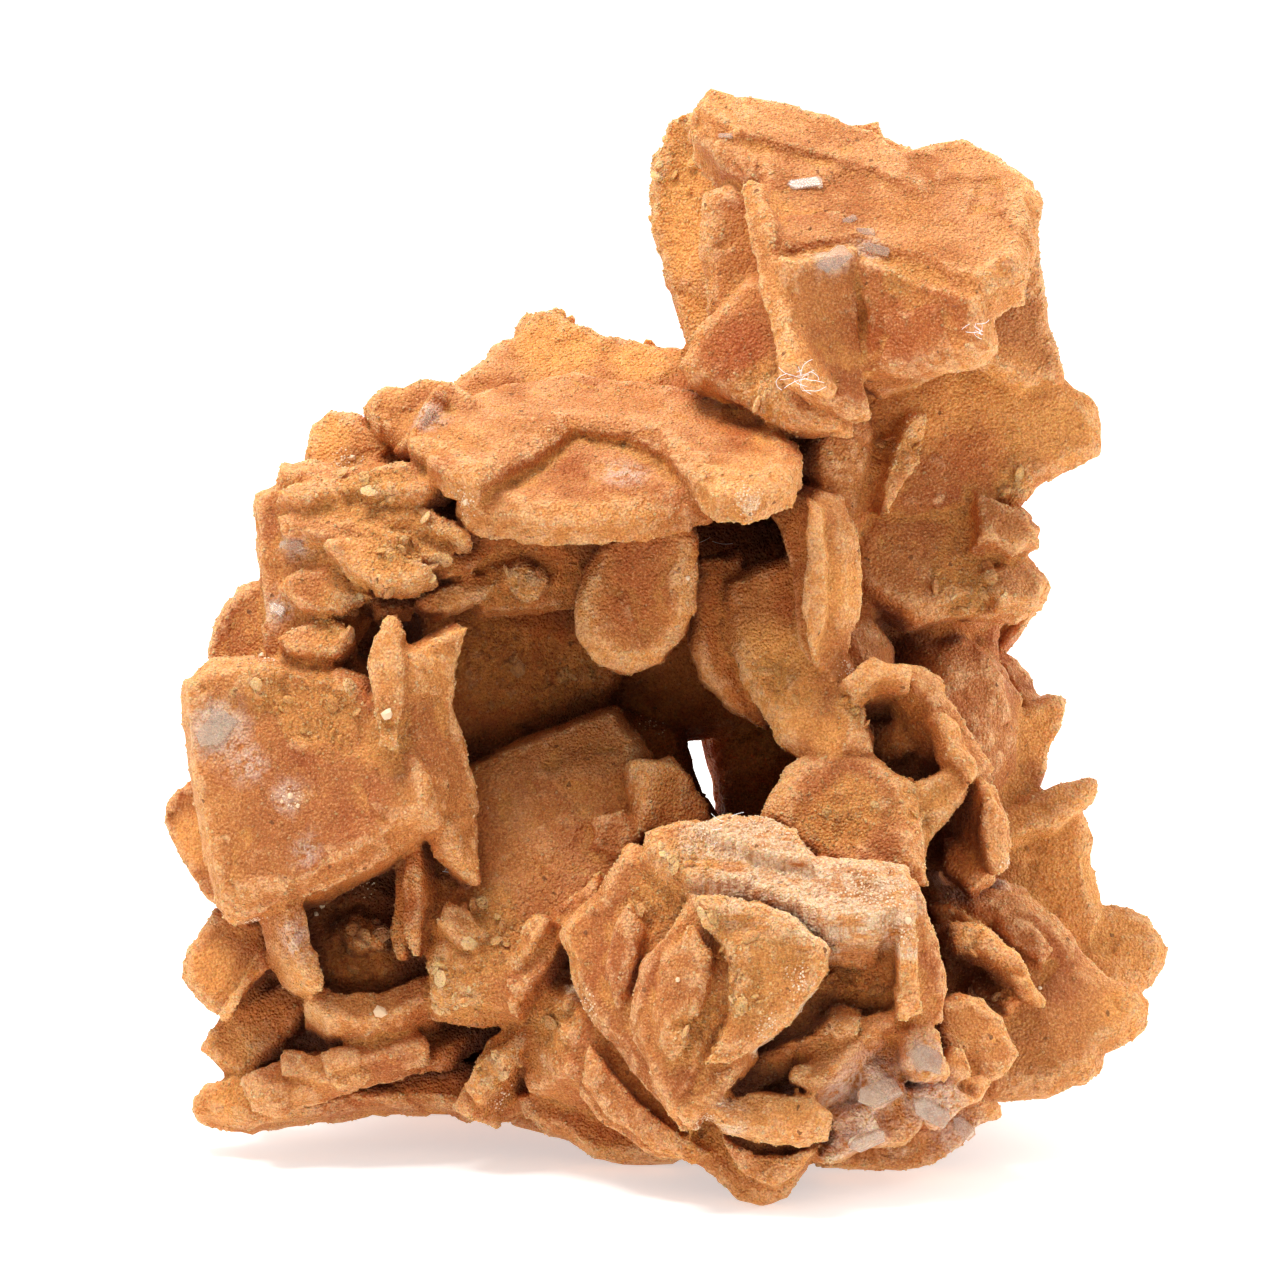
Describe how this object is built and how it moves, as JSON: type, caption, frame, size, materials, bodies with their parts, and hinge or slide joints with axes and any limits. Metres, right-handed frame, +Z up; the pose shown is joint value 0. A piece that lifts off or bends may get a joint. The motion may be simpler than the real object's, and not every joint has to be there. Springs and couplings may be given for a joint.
{
  "type": "desert rose gypsum specimen",
  "caption": "Desert rose: sandy gypsum blades grown through one another in a lumpy upright cluster with a tall head, an open hollow through its middle and a flat worn foot.",
  "frame": {"origin": "middle of the bounding box at the level that the rose stands on", "axes": "+Z up; -Y is the side with the hollow's mouth, +X is the side with the tall head"},
  "size_m": [0.0506, 0.0352, 0.0523],
  "materials": {
    "sandy_gypsum": "sandy gypsum, matt, caramel to orange brown"
  },
  "bodies": {
    "root": {"desert_rose": "sandy_gypsum"}
  },
  "joints": []
}
